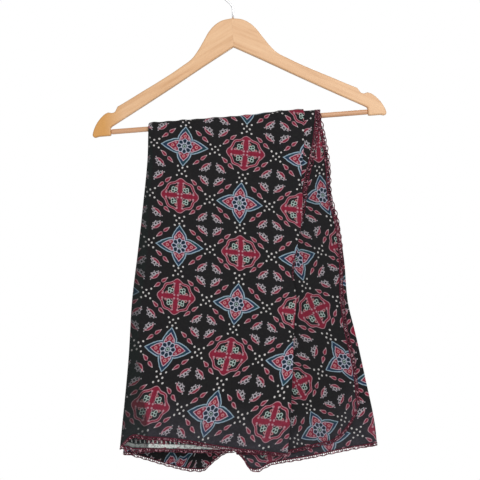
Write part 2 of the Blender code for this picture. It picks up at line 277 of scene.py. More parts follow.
THIRD_LAYER_PRINT = (
    PrintRow(-1, -49.1, 651.7, 88.6, -15.6),
    PrintRow(0, -36.1, 725.6, 88.6, -15.6),
    PrintRow(1, -23.1, 799.5, 88.6, -15.6),
)
ROWS_PAST_A_TABLE = 8

# How softly a dye ends, and how far its edge wanders.
DYE_EDGE = 0.55
DYE_WANDER = 0.9

# The wrong side is duller, partly as a printed wrong side is and partly as painted shade for the back panel
# that hangs in shadow behind the front hem. It has a pale woven band and stitches along the front hem. Band
# and stitches don't show on the right panel, so both are shifted off it.
WRONG_SIDE = "wrong_side"
WRONG_SIDE_DULLNESS_AND_SHADE = 0.18
FROM_HEM = "from_hem"
HEM_BAND = (1.2, 6.8)
HEM_STITCHES = (8.0, 12.5)
STITCH_PITCH = 6.2
NO_BAND_SHIFT = 14.0

# A painted grey sheen lies on the front half near its hem: how far up, the rise from 0 to about 1 in a
# millimetre, and the share of that which is laid on before the patches vary it.
PAINTED_SHEEN_REACH = 70
PAINTED_SHEEN_SLOPE = 0.014
PAINTED_SHEEN_SHARE = 0.3

# Along the panel's left fold a shadow is painted into the colour: its rise in a millimetre, its strength,
# and where it ends, as rows of (drop, x).
IN_PAINTED_SHADOW = "in_painted_shadow"
PAINTED_SHADOW_SLOPE = 0.3
PAINTED_SHADOW_STRENGTH = 0.66
PAINTED_SHADOW_EDGE = (
    (190, -132), (245, -124), (271, -120.6), (345, -126), (405, -128), (543, -141), (621, -135),
    (678, -127.5), (720, -127),
)
FAR = 1000.0

# Colours of the dyes, the threads and the wood as the eye sees them, and the grey of the painted sheen.
COLOURS = {
    "ground": (27, 26, 28),
    "ground_green": (24, 33, 31),
    "ground_brown": (38, 31, 31),
    "crimson": (136, 32, 56),
    "pink": (186, 140, 150),
    "salmon": (196, 126, 130),
    "petal_edge": (200, 176, 190),
    "pale_blue": (154, 178, 194),
    "blue": (32, 54, 84),
    "teal": (22, 68, 74),
    "lilac": (184, 188, 206),
    "dark_blue": (24, 44, 60),
    "curl": (172, 192, 184),
    "leaf_curl": (178, 172, 178),
    "dot": (212, 208, 206),
    "tip": (218, 158, 84),
    "fleck": (206, 158, 168),
    "hem_band": (230, 236, 232),
    "painted_sheen": (96, 92, 104),
}


def srgb(red, green, blue):
    """A colour from 0 to 255 as the screen shows it, as linear light."""

    def linear(value):
        value /= 255
        return value / 12.92 if value <= 0.04045 else ((value + 0.055) / 1.055) ** 2.4

    return (linear(red), linear(green), linear(blue), 1.0)


def mix(a, b, share):
    return a + (b - a) * share


def smooth_share(share):
    share = np.clip(share, 0.0, 1.0)
    return share * share * (3 - 2 * share)


def unit(vectors):
    return vectors / np.linalg.norm(vectors, axis=-1, keepdims=True)


def through(table, at):
    """Reads a table of (place, value) rows at places, on a smooth curve through its rows."""
    places, values = (np.array(column, float) for column in zip(*table))
    slopes = np.gradient(values, places)
    i = np.clip(np.searchsorted(places, at) - 1, 0, len(places) - 2)
    span = places[i + 1] - places[i]
    t = np.clip((at - places[i]) / span, 0, 1)
    bend = span * (slopes[i] * t * (1 - t) ** 2 - slopes[i + 1] * t * t * (1 - t))
    return mix(values[i], values[i + 1], t * t * (3 - 2 * t)) + bend


def smooth_line(rows, steps):
    """Points on a smooth curve through the rows, with so many steps between two of them."""
    at = np.arange((len(rows) - 1) * steps + 1) / steps
    xs = through([(i, row[0]) for i, row in enumerate(rows)], at)
    heights = through([(i, row[1]) for i, row in enumerate(rows)], at)
    return list(zip(xs, heights))


def add_object(name, mesh, finish):
    ob = bpy.data.objects.new(name, mesh)
    ob.data.materials.append(finish)
    bpy.context.scene.collection.objects.link(ob)
    return ob


def mesh_object(name, points, faces, finish):
    mesh = bpy.data.meshes.new(name)
    mesh.from_pydata((np.asarray(points) * MM).tolist(), [], faces)
    mesh.shade_smooth()
    return add_object(name, mesh, finish)


def tube(points, ups, radii, sides):
    """A closed tube along a route, as points and faces. Its radii are rows of (up, sideways)."""
    tangent = unit(np.gradient(points, axis=0))
    side = unit(np.cross(tangent, ups))
    up = np.cross(side, tangent)
    angle = np.arange(sides) * 2 * math.pi / sides
    rings = (
        points[:, None]
        + up[:, None] * (np.cos(angle)[None, :] * radii[:, :1])[..., None]
        + side[:, None] * (np.sin(angle)[None, :] * radii[:, 1:])[..., None]
    )
    faces = [
        (r * sides + k, r * sides + (k + 1) % sides, (r + 1) * sides + (k + 1) % sides, (r + 1) * sides + k)
        for r in range(len(points) - 1)
        for k in range(sides)
    ]
    last = (len(points) - 1) * sides
    faces.append(tuple(reversed(range(sides))))
    faces.append(tuple(range(last, last + sides)))
    return rings.reshape(-1, 3), faces


# Shader arithmetic


class Field:
    """A number that varies over a surface. Arithmetic on it adds math nodes to its material."""

    def __init__(self, tree, socket):
        self.tree = tree
        self.socket = socket

    def apply(self, operation, *others, clamp=False):
        return calculate(self.tree, operation, self, *others, clamp=clamp)

    def __add__(self, other):
        return self.apply("ADD", other)

    def __sub__(self, other):
        return self.apply("SUBTRACT", other)

    def __rsub__(self, other):
        return calculate(self.tree, "SUBTRACT", other, self)

    def __mul__(self, other):
        return self.apply("MULTIPLY", other)

    def __truediv__(self, other):
        return self.apply("DIVIDE", other)

    def __pow__(self, other):
        return self.apply("POWER", other)


def calculate(tree, operation, *values, clamp=False):
    node = tree.nodes.new("ShaderNodeMath")
    node.operation = operation
    node.use_clamp = clamp
    for socket, value in zip(node.inputs, values):
        if isinstance(value, Field):
            tree.links.new(value.socket, socket)
        else:
            socket.default_value = value
    return Field(tree, node.outputs[0])


def lowest(first, *others):
    for other in others:
        first = first.apply("MINIMUM", other)
    return first


def highest(first, *others):
    for other in others:
        first = first.apply("MAXIMUM", other)
    return first


def inside(depth):
    """1 where a depth in millimetres is above 0, with an edge as soft as dye on cotton."""
    return depth.apply("MULTIPLY_ADD", 1 / DYE_EDGE, 0.5, clamp=True)


def band(depth, low, high):
    return inside(depth - low) * inside(high - depth)


def away(x, y, place):
    """Distance from a place."""
    dx = x - place[0]
    dy = y - place[1]
    return (dx * dx + dy * dy).apply("SQRT")


def nearest(x, y, *places):
    return lowest(*(away(x, y, place) for place in places))


def paint(tree, under, colour, mask):
    """Lays a colour over another one where the mask is 1."""
    node = tree.nodes.new("ShaderNodeMix")
    node.data_type = "RGBA"
    tree.links.new(mask.socket, node.inputs[0])
    for socket, value in ((node.inputs[6], under), (node.inputs[7], colour)):
        if isinstance(value, bpy.types.NodeSocket):
            tree.links.new(value, socket)
        else:
            socket.default_value = srgb(*COLOURS[value])
    return node.outputs[2]


def noise(tree, place, scale, detail=2.0, roughness=0.5):
    node = tree.nodes.new("ShaderNodeTexNoise")
    node.inputs["Scale"].default_value = scale
    node.inputs["Detail"].default_value = detail
    node.inputs["Roughness"].default_value = roughness
    tree.links.new(place, node.inputs["Vector"])
    return node


def noise_field(tree, place, scale, detail=2.0, roughness=0.5):
    return Field(tree, noise(tree, place, scale, detail, roughness).outputs[0])


def ramp(tree, field, stops):
    node = tree.nodes.new("ShaderNodeValToRGB")
    elements = node.color_ramp.elements
    while len(elements) < len(stops):
        elements.new(0.5)
    for element, (position, colour) in zip(elements, stops):
        element.position = position
        element.color = srgb(*colour)
    tree.links.new(field.socket, node.inputs[0])
    return node.outputs[0]


def bump(tree, shader, height, distance, strength=1.0):
    node = tree.nodes.new("ShaderNodeBump")
    node.inputs["Distance"].default_value = distance
    node.inputs["Strength"].default_value = strength
    tree.links.new(height.socket, node.inputs["Height"])
    tree.links.new(node.outputs[0], shader.inputs["Normal"])


def new_material(name):
    made = bpy.data.materials.new(name)
    made.use_nodes = True
    return made, made.node_tree, made.node_tree.nodes["Principled BSDF"]


# The block print, in millimetres from a motif's centre, folded into one quarter of the motif.
# Drops and leaves lie along a slanting line in each quarter.
SLANT = (-0.768, 0.640)
DROPS_CENTRE = (24.4, 18.2)
LEAF_CENTRE = (34.0, 27.7)


def slanted(x, y, centre):
    """How far along the slant a point lies, and how far off it, away from the motif."""
    dx = x - centre[0]
    dy = y - centre[1]
    return dx * SLANT[0] + dy * SLANT[1], dx * SLANT[1] - dy * SLANT[0]


def paint_drops(tree, colour, x, y):
    """Two pointed drops that lie end to end, with pale tips."""
    along, off = slanted(x, y, DROPS_CENTRE)
    along = along.apply("ABSOLUTE")
    off = off.apply("ABSOLUTE")
    rounded = (along - 5.0).apply("MINIMUM", 0.0) / 3.5
    pointed = (along - 5.0).apply("MAXIMUM", 0.0) / 8.0
    width = (1 - rounded * rounded).apply("MAXIMUM", 0.0).apply("SQRT") * (1 - pointed ** 1.5) * 2.7
    depth = (width - off) * 0.9
    colour = paint(tree, colour, "pink", inside(depth))
    colour = paint(tree, colour, "crimson", inside(depth - 1.0))
    return paint(tree, colour, "dot", inside(depth) * inside(along - 11.2))


def paint_leaves(tree, colour, x, y):
    """A leaf with a crimson back, three curls on its open side and small pale tips."""
    along, off = slanted(x, y, LEAF_CENTRE)
    length = along.apply("ABSOLUTE")
    bow = along * along
    back = off + 4.4 - bow * 0.052
    depth = lowest(back, 1.9 - bow * 0.03 - off)
    colour = paint(tree, colour, "pink", inside(depth))
    colour = paint(tree, colour, "crimson", band(back, 0.9, 3.4) * inside(4.9 - length))
    side_curls = away(length, off, (4.4, 1.2))
    curls = lowest(side_curls + 0.8, away(length, off, (0.0, 2.3)))
    colour = paint(tree, colour, "leaf_curl", inside(2.9 - curls))
    tips = nearest(length, off, (9.4, -1.4), (7.6, 1.6), (2.8, 5.0))
    colour = paint(tree, colour, "leaf_curl", inside(0.9 - tips))
    holes = lowest(side_curls + 0.3, away(length, off, (0.0, 2.4)))
    return paint(tree, colour, "ground", inside(1.5 - holes))


def paint_dots(tree, colour, x, y):
    """Clusters of resist dots where the motifs' points meet."""
    beside = nearest(MOTIF_WIDTH / 2 - x, y, (7, 7), (4.4, 0), (0, 4.4))
    below = nearest(x, MOTIF_HEIGHT / 2 - y, (7, 7), (4.4, 0), (0, 4.4))
    return paint(tree, colour, "dot", inside(1.35 - lowest(beside, below)))


def petals(x, y, reach, width, belly):
    """Depth inside a star of four petals, which are widest at the belly and pointed at the end."""

    def petal(along, across, length, half_width):
        past = (along - belly).apply("MAXIMUM", 0.0) / (length - belly)
        before = (belly - along).apply("MAXIMUM", 0.0) / belly
        return (1 - past ** 1.45 - before * before * 0.4) * half_width - across

    return highest(petal(x, y, reach[0], width[0]), petal(y, x, reach[1], width[1])) * 0.8


def paint_star(tree, colour, x, y, here, tint):
    """A star: pale outline, blue band, crimson petals and a pale disc with eight dark drops."""
    outer = petals(x, y, (35.2, 31.0), (11.4, 11.0), 12.5)
    inner = petals(x, y, (26.4, 23.2), (8.4, 8.1), 11.5)
    colour = paint(tree, colour, "pale_blue", inside(outer) * here)
    blue = paint(tree, "blue", "teal", tint)
    colour = paint(tree, colour, blue, inside(outer - 1.2) * here)
    colour = paint(tree, colour, "petal_edge", inside(inner) * here)
    colour = paint(tree, colour, "crimson", inside(inner - 1.0) * here)
    rings = nearest(x, y, (17.6, 0.0), (0.0, 15.2))
    colour = paint(tree, colour, "salmon", band(rings, 0.9, 2.4) * here)
    studs = nearest(x, y, (13.2, 4.6), (5.2, 12.6))
    colour = paint(tree, colour, "pink", band(studs, 0.4, 1.5) * here)
    angle = calculate(tree, "ARCTAN2", y, x)
    radius = (x * x + y * y).apply("SQRT")
    scallop = (angle * 8).apply("COSINE") * 0.7 + 11.1
    colour = paint(tree, colour, "lilac", inside(scallop - radius) * here)
    beside = angle - (angle * (4 / math.pi)).apply("ROUND") * (math.pi / 4)
    along = (radius - 7.6) / 1.25
    drops = (along * along + beside * beside * 58).apply("SQRT")
    colour = paint(tree, colour, "dark_blue", inside(2.5 - drops) * here)
    colour = paint(tree, colour, "dark_blue", inside(3.6 - radius) * here)
    return paint(tree, colour, "curl", band(away(x, y, (0.6, 0.4)), 0.9, 1.9) * here)


def paint_rosette(tree, colour, x, y, here):
    """A lobed rosette: crimson cross with beaded edges, and curled flowers in black quarters."""
    angle = calculate(tree, "ARCTAN2", y, x)
    waves = (angle * 8).apply("COSINE") * 0.05 + 1
    rim = ((x / 27.4) ** 1.6 + (y / 25.0) ** 1.6) ** (1 / 1.6)
    depth = (1 - rim / waves) * 25
    colour = paint(tree, colour, "pink", inside(depth) * here)
    colour = paint(tree, colour, "crimson", inside(depth - 1.0) * here)
    colour = paint(tree, colour, "pink", band(depth, 3.2, 4.0) * here)
    quarter = inside(depth - 4.0) * here
    colour = paint(tree, colour, "ground", quarter)
    buds = nearest(x, y, (14.6, 4.7), (5.2, 13.6))
    curls = nearest(x, y, (6.6, 9.4), (10.6, 6.6), (10.3, 10.4))
    colour = paint(tree, colour, "salmon", inside(2.1 - buds) * quarter)
    colour = paint(tree, colour, "curl", inside(2.7 - curls) * quarter)
    colour = paint(tree, colour, "ground_green", inside(highest(1.5 - curls, 1.0 - buds)) * quarter)

    def half_width(along):
        return (along - 16.5).apply("MAXIMUM", 0.0) * 0.55 + 3.4

    cross = lowest(y - half_width(x), x - half_width(y))
    colour = paint(tree, colour, "crimson", inside(0 - cross) * inside(depth - 1.1) * here)
    bead = (highest(x, y) * (2 * math.pi / 4.8)).apply("SINE") * 0.45 + 0.55
    colour = paint(tree, colour, "pink", band(cross, -0.1, 1.3) * inside(depth - 2.5) * bead * here)
    studs = lowest(nearest(x, y, (2.7, 2.6), (20.6, 3.7)), away(x, y, (4.1, 18.8)))
    return paint(tree, colour, "pink", inside(1.45 - studs) * here)


def point_value(tree, name):
    """A value that the mesh carries at each point."""
    node = tree.nodes.new("ShaderNodeAttribute")
    node.attribute_name = name
    return Field(tree, node.outputs["Fac"])


def cloth_material():
    """Black cotton with the block print on both faces, duller on the wrong one (partly painted shade), with
    a painted shadow along the panel's left fold and a painted sheen near the front hem.
    """
    made, tree, shader = new_material("block printed cotton")
    print_place = tree.nodes.new("ShaderNodeUVMap")
    print_place.uv_map = PRINT_MAP
    place = print_place.outputs[0]
    split = tree.nodes.new("ShaderNodeSeparateXYZ")
    tree.links.new(place, split.inputs[0])
    across = Field(tree, split.outputs[0])
    down = Field(tree, split.outputs[1])
    column = across.apply("ROUND")
    row = down.apply("ROUND")
    wander = noise(tree, place, 14.0, 3.0)
    shift = tree.nodes.new("ShaderNodeSeparateColor")
    tree.links.new(wander.outputs[1], shift.inputs[0])
    x = (across - column) * MOTIF_WIDTH + (Field(tree, shift.outputs[0]) - 0.5) * 2 * DYE_WANDER
    y = (down - row) * MOTIF_HEIGHT + (Field(tree, shift.outputs[1]) - 0.5) * 2 * DYE_WANDER
    x = x.apply("ABSOLUTE")
    y = y.apply("ABSOLUTE")
    rosette = (column + row).apply("FLOORED_MODULO", 2.0)

    patches = noise_field(tree, place, 5.0, 4.0, 0.6)
    colour = paint(tree, "ground_green", "ground_brown", inside(patches - 0.5))
    colour = paint(tree, colour, "ground", inside((noise_field(tree, place, 11.0, 3.0) - 0.35) * 3))
    colour = paint_leaves(tree, colour, x, y)
    colour = paint_drops(tree, colour, x, y)
    colour = paint_dots(tree, colour, x, y)
    tint = ((noise_field(tree, place, 7.0, 2.0) - 0.42) * 5).apply("MULTIPLY", 1.0, clamp=True)
    colour = paint_star(tree, colour, x, y, 1 - rosette, tint)
    colour = paint_rosette(tree, colour, x, y, rosette)

    wrong_side = point_value(tree, WRONG_SIDE)
    from_hem = point_value(tree, FROM_HEM)
    painted_shadow = (point_value(tree, IN_PAINTED_SHADOW) * PAINTED_SHADOW_SLOPE + 0.5).apply("MULTIPLY", 1.0, clamp=True)
    # Painted grey sheen on the front half near its hem, in patches.
    sheen_near_hem = ((PAINTED_SHEEN_REACH - from_hem) * PAINTED_SHEEN_SLOPE).apply("MULTIPLY", PAINTED_SHEEN_SHARE, clamp=True)
    colour = paint(tree, colour, "painted_sheen", sheen_near_hem * patches * 1.6)
    # Duller wrong side: partly the print's own dullness, partly painted shade on the back panel.
    colour = paint(tree, colour, "ground", wrong_side * WRONG_SIDE_DULLNESS_AND_SHADE)
    streaks = ((noise_field(tree, place, 17.0, 4.0, 0.7) - 0.36) * 6).apply("MULTIPLY", 1.0, clamp=True)
    stitches = ((across * (MOTIF_WIDTH / STITCH_PITCH * 2 * math.pi)).apply("SINE") - 0.55) * 4
    stitches = stitches.apply("MULTIPLY", 1.0, clamp=True) * band(from_hem, *HEM_STITCHES)
    pale = highest(band(from_hem, *HEM_BAND) * streaks, stitches)
    colour = paint(tree, colour, "hem_band", pale * wrong_side)
    # Painted shadow along the panel's left fold: the colour is darkened towards the green-black ground.
    colour = paint(tree, colour, "ground_green", painted_shadow * PAINTED_SHADOW_STRENGTH)

    uneven = tree.nodes.new("ShaderNodeMix")
    uneven.data_type = "RGBA"
    uneven.blend_type = "MULTIPLY"
    uneven.inputs[0].default_value = 1.0
    tree.links.new(colour, uneven.inputs[6])
    fading = noise_field(tree, place, 26.0, 5.0, 0.65)
    tree.links.new(ramp(tree, fading, ((0.3, (212, 212, 212)), (0.6, (255, 255, 255)))), uneven.inputs[7])
    tree.links.new(uneven.outputs[2], shader.inputs["Base Color"])

    weave_turns = 2 * math.pi / 0.5
    warp = (across * (MOTIF_WIDTH * weave_turns)).apply("SINE")
    weft = (down * (MOTIF_HEIGHT * weave_turns)).apply("SINE")
    rumple = noise_field(tree, tree.nodes.new("ShaderNodeTexCoord").outputs["Object"], 46.0, 3.0)
    bump(tree, shader, warp * weft * 0.05 + rumple * 2.2, 0.0005)
    shader.inputs["Roughness"].default_value = 0.75
    shader.inputs["Specular IOR Level"].default_value = 0.16
    shader.inputs["Sheen Weight"].default_value = 0.05
    shader.inputs["Sheen Roughness"].default_value = 0.5
    return made


def thread_material():
    """Maroon crochet thread with pale flecks where the light catches its plies."""
    made, tree, shader = new_material("maroon crochet thread")
    place = tree.nodes.new("ShaderNodeTexCoord").outputs["Object"]
    plies = noise_field(tree, place, 900.0, 2.0)
    tone = ramp(tree, plies, ((0.34, (46, 9, 21)), (0.52, (80, 17, 36)), (0.66, (116, 40, 62))))
    flecks = (noise_field(tree, place, 330.0, 1.0) - 0.64 + point_value(tree, PALE_THREAD) * 0.13) * 8
    tone = paint(tree, tone, "fleck", flecks.apply("MULTIPLY", 0.9, clamp=True))
    tree.links.new(tone, shader.inputs["Base Color"])
    bump(tree, shader, noise_field(tree, place, 1400.0, 2.0), 0.0003)
    shader.inputs["Roughness"].default_value = 0.8
    shader.inputs["Specular IOR Level"].default_value = 0.25
    shader.inputs["Sheen Weight"].default_value = 0.1
    return made


def wood_material(name, tones, grain_deg, yellow_tip=False):
    """Planed beech with its grain along the piece, under a thin satin lacquer."""
    made, tree, shader = new_material(name)
    place = tree.nodes.new("ShaderNodeTexCoord").outputs["Object"]
    grain = tree.nodes.new("ShaderNodeMapping")
    grain.vector_type = "TEXTURE"
    grain.inputs["Rotation"].default_value = (0, math.radians(grain_deg), 0)
    grain.inputs["Scale"].default_value = (0.16, 0.012, 0.011)
    tree.links.new(place, grain.inputs["Vector"])
    streaks = noise_field(tree, grain.outputs[0], 1.6, 5.0, 0.62)
    light, middle, dark = tones
    colour = ramp(tree, streaks, ((0.3, light), (0.52, middle), (0.74, dark)))
    if yellow_tip:
        split = tree.nodes.new("ShaderNodeSeparateXYZ")
        tree.links.new(place, split.inputs[0])
        tip = (Field(tree, split.outputs[0]) * -40 - 6.9).apply("MULTIPLY", 0.8, clamp=True)
        colour = paint(tree, colour, "tip", tip)
    tree.links.new(colour, shader.inputs["Base Color"])
    pores = noise_field(tree, grain.outputs[0], 14.0, 3.0)
    bump(tree, shader, streaks * 0.6 + pores * 0.3, 0.0002)
    shader.inputs["Roughness"].default_value = 0.42
    shader.inputs["Coat Weight"].default_value = 0.2
    shader.inputs["Coat Roughness"].default_value = 0.3
    return made


def steel_material():
    """Plated wire with fine scratches."""
    made, tree, shader = new_material("plated steel wire")
    place = tree.nodes.new("ShaderNodeTexCoord").outputs["Object"]
    scuffs = noise_field(tree, place, 320.0, 4.0, 0.6)
    tone = ramp(tree, scuffs, ((0.3, (238, 239, 242)), (0.7, (250, 250, 252))))
    tree.links.new(tone, shader.inputs["Base Color"])
    tree.links.new((scuffs * 0.2 + 0.16).socket, shader.inputs["Roughness"])
    bump(tree, shader, scuffs, 0.0001)
    shader.inputs["Metallic"].default_value = 0.7
    return made


# Hanger


def hanger_matrix():
    """From the hanger's own frame, level and centred between its tips, to the world."""
    place = Matrix.Translation(TIPS_CENTRE * MM)
    return place @ Matrix.Rotation(math.radians(-TILT_DEG), 4, "Y")


def make_arm(name, side, finish):
    points = smooth_line(ARM_TOP, ARM_STEPS) + list(ARM_END) + smooth_line(ARM_BELOW, ARM_STEPS)
    outline = [(side * max(x, SEAM_HALF_GAP), height) for x, height in points]
    if side > 0:
        outline.reverse()
    bm = bmesh.new()
    back = WOOD_THICKNESS / 2
    face = bm.faces.new([bm.verts.new((x * MM, back * MM, height * MM)) for x, height in outline])
    moved = bmesh.ops.extrude_face_region(bm, geom=[face])
    front = [v for v in moved["geom"] if isinstance(v, bmesh.types.BMVert)]
    bmesh.ops.translate(bm, verts=front, vec=(0, -WOOD_THICKNESS * MM, 0))
    bmesh.ops.recalc_face_normals(bm, faces=bm.faces)
    rounding = bm.edges.layers.float.new("bevel_weight_edge")
    for edge in bm.edges:
        at_seam = all(abs(v.co.x) < MM for v in edge.verts)
        edge.smooth = not at_seam
        edge[rounding] = float(not at_seam and edge.calc_face_angle() > math.radians(50))
    mesh = bpy.data.meshes.new(name)
    bm.to_mesh(mesh)
    bm.free()
    mesh.shade_smooth()
    arm = add_object(name, mesh, finish)
    arm.matrix_world = hanger_matrix()
    bevel = arm.modifiers.new("rounded edges", "BEVEL")
    bevel.width = WOOD_EDGE_RADIUS * MM
    bevel.segments = 4
    bevel.limit_method = "WEIGHT"
    bevel.harden_normals = True
    return arm


def make_bar(finish):
    """The round bar: slightly uneven, as turned wood is, and eased at its two ends."""
    along = np.concatenate([[0, 0.3, 0.9, 1.8], np.linspace(6, 2 * BAR_HALF_LENGTH - 6, 60)])
    along = np.concatenate([along, 2 * BAR_HALF_LENGTH - np.array([1.8, 0.9, 0.3, 0])]) - BAR_HALF_LENGTH
    ends = BAR_HALF_LENGTH - np.abs(along)
    eased = BAR_RADIUS - 0.7 * np.clip(1 - ends / 1.8, 0, 1) ** 2
    uneven = 0.03 * np.sin(along / 17) + 0.02 * np.sin(along / 5.3)
    points = np.stack([along, 0 * along, 0 * along + BAR_RISE], axis=1)
    radii = np.stack([eased + uneven, eased - uneven], axis=1)
    bar = mesh_object("hanger_rail", *tube(points, np.array([[0, 0, 1.0]] * len(along)), radii, 32), finish)
    bar.matrix_world = hanger_matrix()
    return bar


def hook_route():
    """Centre line of the hook's wire: up to the left from the crown, then over the seat to the right."""
    radius = HOOK_INNER_RADIUS + WIRE_RADIUS
    centre = np.array((0.0, -HOOK_INNER_RADIUS))
    start = math.radians(HOOK_START_DEG)
    joins = centre + radius * np.array((math.cos(start), math.sin(start)))
    heading = np.array((-math.sin(start), math.cos(start)))
    neck = np.array((0.0, HOOK_NECK_HEIGHT))
    reach = 0.45 * (joins[1] - neck[1])
    t = np.linspace(0, 1, 24, endpoint=False)[:, None]
    stem = (
        neck * (1 - t) ** 3
        + (neck + np.array((0, reach))) * 3 * t * (1 - t) ** 2
        + (joins - heading * reach) * 3 * t * t * (1 - t)
        + joins * t ** 3
    )
    angle = np.radians(np.linspace(HOOK_START_DEG, HOOK_END_DEG, 80))
    arc = centre + radius * np.stack([np.cos(angle), np.sin(angle)], axis=1)
    foot = [(0.0, HOOK_FOOT_HEIGHT), (0.0, mix(HOOK_FOOT_HEIGHT, HOOK_NECK_HEIGHT, 0.5))]
    return np.concatenate([foot, stem, arc]) * (-1, 1)


def make_hook(finish):
    route = hook_route()
    way = unit(route[-1] - route[-2])
    cap = np.array([0.3, 0.6, 0.8, 0.93, 0.99])
    route = np.concatenate([route, route[-1] + way * WIRE_RADIUS * cap[:, None]])
    radii = np.full(len(route), WIRE_RADIUS)
    radii[-len(cap):] *= np.sqrt(1 - cap ** 2)
    points = np.stack([route[:, 0], 0 * route[:, 0], route[:, 1]], axis=1)
    ups = np.array([[0, 1.0, 0]] * len(route))
    return mesh_object("wire_hook", *tube(points, ups, np.stack([radii, radii], axis=1), 20), finish)


# Cloth


def bar_drop(x):
    """How far the bar's centre lies below the hook seat, at a given x."""
    middle_x = TIPS_CENTRE.x - BAR_RISE * math.sin(math.radians(TILT_DEG))
    middle_drop = -TIPS_CENTRE.z - BAR_RISE * math.cos(math.radians(TILT_DEG))
    return middle_drop - (x - middle_x) * math.tan(math.radians(TILT_DEG))


def run_of(line, half):
    if line.name == "pleat_cover":
        return [(fall, x - COVER_PAST_PLEAT) for fall, x in RUNS[half]["pleat_inner"]]
    return RUNS[half][line.name]


def line_places(half, share):
    """Each line's x, in one row of a half."""
    places = []
    for i, line in enumerate(LINES):
        run = run_of(line, half)
        x_top, x_hem = run[0][1], run[-1][1]
        beside = STRIPS[max(i - 1, 0)].hem, STRIPS[min(i, len(STRIPS) - 1)].hem
        hem = sum(through(HEMS[half][name], x_hem) for name in beside) / 2
        places.append(float(through(run, share * (hem - bar_drop(x_top)))))
    return places


def pitch_of(share):
    return mix(PITCH_AT_BAR, PITCH_AT_HEM, share ** 0.7)


def turn_reach(line, share):
    """How far a turn's round reaches to its side, and its radius between the two layers."""
    radius = abs(line.level_after - line.level_before) / 2 * pitch_of(share)
    if line.name == "outer_fold":
        return radius + OUTER_TURN_REACH * share ** 2, radius
    return radius, radius


def turn_centres(half, share):
    return [x - line.turn * turn_reach(line, share)[0] for line, x in zip(LINES, line_places(half, share))]


def turn_steps(line):
    return OUTER_TURN_STEPS if line.name == "outer_fold" else TURN_STEPS


def strip_spacing(i):
    """Shares of the way across a strip, closer together towards its two turns."""
    even = np.arange(STRIPS[i].steps + 1) / STRIPS[i].steps
    spaced = mix(even, 0.5 - 0.5 * np.cos(math.pi * even), 0.6)
    return spaced[1:] if i and not LINES[i].turn else spaced


def section(half, share):
    """One row of the cloth: each column's x, its way out from the bar and its drop."""
    pitch = pitch_of(share)
    centres = turn_centres(half, share)
    at_bar = turn_centres(half, 0.0)
    at_hem = turn_centres(half, 1.0)
    columns = []
    for i, strip in enumerate(STRIPS):
        line = LINES[i]
        if line.turn:
            reach, radius = turn_reach(line, share)
            angle = math.pi * np.arange(1, turn_steps(line)) / turn_steps(line)
            middle = (line.level_before + line.level_after) / 2 * pitch
            way = 1 if line.level_after > line.level_before else -1
            x_hem = at_hem[i] + line.turn * turn_reach(line, 1.0)[0] * np.sin(angle)
            before = through(HEMS[half][STRIPS[i - 1].hem], x_hem)
            hem = mix(before, through(HEMS[half][strip.hem], x_hem), angle / math.pi)
            x = centres[i] + line.turn * reach * np.sin(angle)
            columns.append((x, middle - way * radius * np.cos(angle), mix(bar_drop(at_bar[i]), hem, share)))
        across = strip_spacing(i)
        x_hem = mix(at_hem[i], at_hem[i + 1], across)
        top = bar_drop(mix(at_bar[i], at_bar[i + 1], across))
        drop = mix(top, through(HEMS[half][strip.hem], x_hem), share)
        level = mix(line.level_after, LINES[i + 1].level_before, smooth_share(across / 0.35))
        columns.append((mix(centres[i], centres[i + 1], across), level * pitch, drop))
    return np.concatenate(columns, axis=1)


def strip_columns():
    """First and last column of each strip."""
    spans = []
    column = 0
    for i in range(len(STRIPS)):
        if LINES[i].turn:
            column += turn_steps(LINES[i]) - 1
        spans.append((column, column + len(strip_spacing(i)) - 1))
        column = spans[-1][1] + 1
    return spans


def standing_out(half, x, share):
    """How far the hanging cloth stands out of its plane, by its soft folds and its creases."""
    out = SPREAD_AT_HEM * share + 0 * x
    for fold in FOLDS:
        if fold.half == half:
            off = (x - mix(fold.x_at_bar, fold.x_at_hem, share)) / fold.width
            out += fold.height * smooth_share(share * 1.6) * np.exp(-off * off)
    for crease in CREASES:
        if crease.half == half:
            t = (share - crease.share_from) / (crease.share_to - crease.share_from)
            off = (x - mix(crease.x_from, crease.x_to, t)) / crease.width
            strength = smooth_share(t / 0.25) * smooth_share((1 - t) / 0.25)
            out += crease.height * strength * np.exp(-off * off)
    return out


def tucked(x, fall):
    """How far the tucks stand out at the bar and just below it."""
    return sum(t.height * np.exp(-((x - t.x) / t.width) ** 2 - fall / t.reach) for t in TUCKS)


def hanging_row(half, share):
    facing = -1 if half == "front" else 1
    beside = BAR_RADIUS + BAR_CLEARANCE_BESIDE + SOLID_THICKNESS / 2
    x, out, drop = section(half, share)
    out = out + standing_out(half, x, share) + tucked(x, drop - bar_drop(x))
    return np.stack([x, facing * (beside + out), -drop], axis=1)


def bend_row(angle):
    """A row of the cloth where it bends over the bar, by the angle from the front."""
    beside = BAR_RADIUS + BAR_CLEARANCE_BESIDE + SOLID_THICKNESS / 2
    above = BAR_RADIUS + BAR_CLEARANCE_ABOVE + SOLID_THICKNESS / 2
    normal = Vector((-above * math.cos(angle), beside * math.sin(angle))).normalized()
    x, out, _ = section("front", 0.0)
    out = out + tucked(x, 0.0)
    y = -beside * math.cos(angle) + normal[0] * out
    z = -bar_drop(x) + above * math.sin(angle) + normal[1] * out
    return np.stack([x, y, z], axis=1)


def cloth_points():
    """The middle of the cloth as a grid: rows from the front hem over the bar to the back hem."""
    shares = np.arange(1, ROWS_A_HALF + 1) / ROWS_A_HALF
    front = [hanging_row("front", share) for share in shares[::-1]]
    bend = [bend_row(math.pi * k / BEND_STEPS) for k in range(BEND_STEPS + 1)]
    back = [hanging_row("back", share) for share in shares]
    return np.array(front + bend + back)


